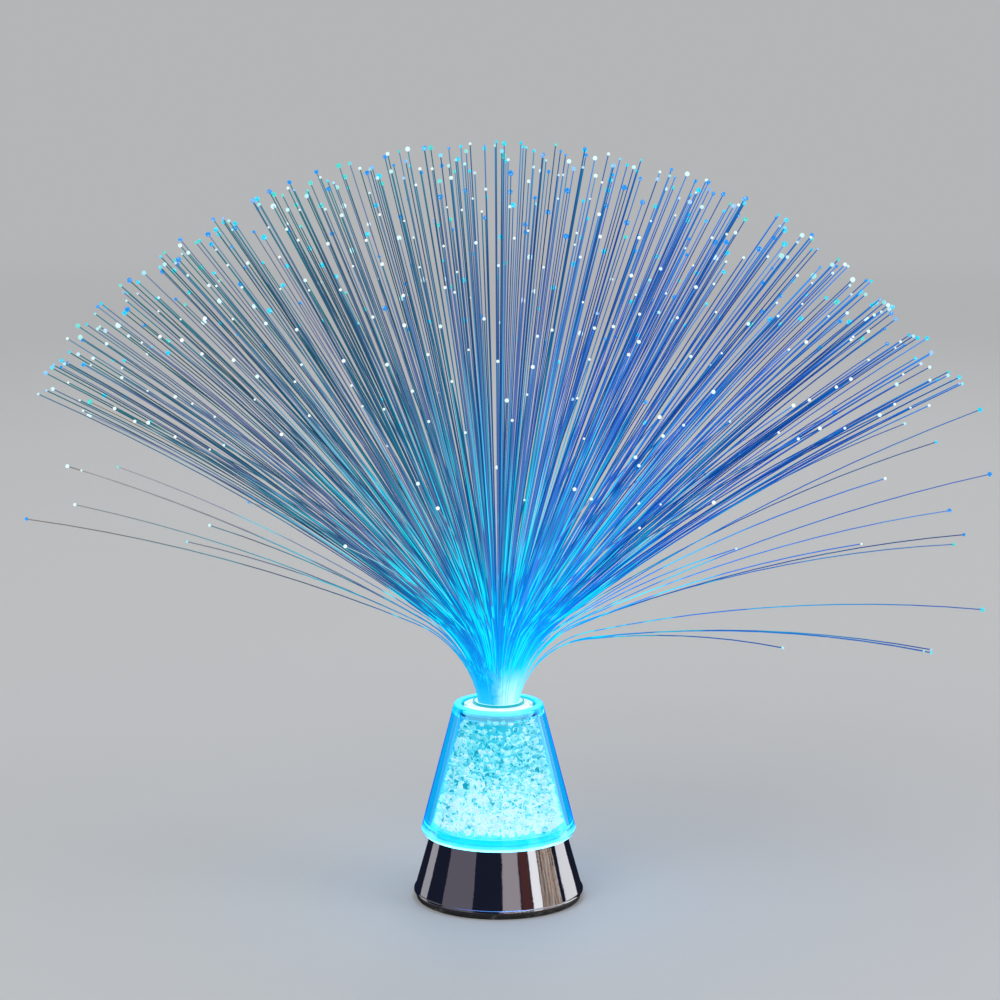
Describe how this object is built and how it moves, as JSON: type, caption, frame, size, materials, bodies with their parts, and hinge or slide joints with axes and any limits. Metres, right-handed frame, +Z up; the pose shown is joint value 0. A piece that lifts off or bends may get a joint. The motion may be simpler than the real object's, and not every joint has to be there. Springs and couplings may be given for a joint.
{
  "type": "fibre optic lamp",
  "caption": "Battery table lamp: a chrome base with a slide switch, a clear cone of crystal chips, and a spray of light fibres that lifts out and turns.",
  "frame": {"origin": "centre of the foot ring's flat underside, on the surface that the lamp stands on", "axes": "+Z up along the lamp's axis, -Y towards the viewer of the picture, the battery door's hinge at -Y and the switch at +X"},
  "size_m": [0.3951, 0.3824, 0.3099],
  "materials": {
    "foot_rubber": "matt",
    "black_plastic": "satin",
    "door_plastic": "fine textured",
    "screw_steel": "zinc plated",
    "contact_metal": "nickel plated",
    "cell_jacket": "printed sleeve without marks",
    "switch_plastic": "satin",
    "slider_plastic": "ridged",
    "chrome_finish": "bright plated plastic",
    "board_laminate": "solder mask",
    "led_lens": "clear",
    "led_package": "white",
    "resistor_body": "coated",
    "chip_body": "moulded",
    "connector_plastic": "moulded",
    "lead_red": "insulated",
    "lead_black": "insulated",
    "clear_cone": "clear",
    "clear_floor": "clear",
    "clear_tube": "frosted clear",
    "crystal_chip": "clear, faceted",
    "white_plug": "milky",
    "neck_metal": "dark, lit by the fibres",
    "ferrule_plastic": "dark",
    "core_plastic": "polished",
    "light_fibre": "clear, glowing"
  },
  "bodies": {
    "lamp_base": {"foot_ring": "foot_rubber", "bottom_plate": "black_plastic", "base_screws": "screw_steel", "contact_plates": "contact_metal", "switch_body": "switch_plastic", "switch_terminals": "contact_metal", "base_shell": "chrome_finish", "light_board": "board_laminate", "board_screws": "screw_steel", "centre_led": "led_lens", "side_leds": "led_package", "resistors": "resistor_body", "control_chip": "chip_body", "lead_connector": "connector_plastic", "lead_positive": "lead_red", "lead_negative": "lead_black", "lead_switched": "lead_red", "cone_shell": "clear_cone", "cone_floor": "clear_floor", "cone_screws": "screw_steel", "light_tube": "clear_tube", "neck_plug": "white_plug", "battery_cell_1": "cell_jacket", "battery_spring_1": "contact_metal", "battery_cell_2": "cell_jacket", "battery_spring_2": "contact_metal", "battery_cell_3": "cell_jacket", "battery_spring_3": "contact_metal", "crystal_layer_1": "crystal_chip", "crystal_layer_2": "crystal_chip", "crystal_layer_3": "crystal_chip", "crystal_layer_4": "crystal_chip", "crystal_layer_5": "crystal_chip", "crystal_layer_6": "crystal_chip", "crystal_layer_7": "crystal_chip"},
    "bundle_sleeve": {"neck_ring": "neck_metal"},
    "fibre_bundle": {"ferrule": "ferrule_plastic", "bundle_core": "core_plastic", "fibre_centre": "light_fibre", "fibre_ring_03": "light_fibre", "fibre_ring_04": "light_fibre", "fibre_ring_05": "light_fibre", "fibre_ring_06": "light_fibre", "fibre_ring_07": "light_fibre", "fibre_ring_08": "light_fibre", "fibre_ring_09": "light_fibre", "fibre_ring_10": "light_fibre", "fibre_ring_11": "light_fibre", "fibre_ring_12": "light_fibre", "fibre_ring_13": "light_fibre", "fibre_ring_14": "light_fibre", "fibre_strays": "light_fibre"},
    "door": {"battery_door": "door_plastic"},
    "slider": {"switch_slider": "slider_plastic"}
  },
  "joints": [
    {"name": "bundle_lift", "type": "slide", "parent": "lamp_base", "child": "bundle_sleeve", "axis": [0, 0, 1], "range_m": [0, 0.03]},
    {"name": "bundle_turn", "type": "hinge", "parent": "bundle_sleeve", "child": "fibre_bundle", "pos_m": [0, 0, 0.0828], "axis": [0, 0, 1], "continuous": true},
    {"name": "battery_door_hinge", "type": "hinge", "parent": "lamp_base", "child": "door", "pos_m": [0, -0.02555, 0.00165], "axis": [-1, 0, 0], "range_deg": [0, 95]},
    {"name": "switch_slide", "type": "slide", "parent": "lamp_base", "child": "slider", "axis": [0, 1, 0], "range_m": [-0.002, 0]}
  ]
}
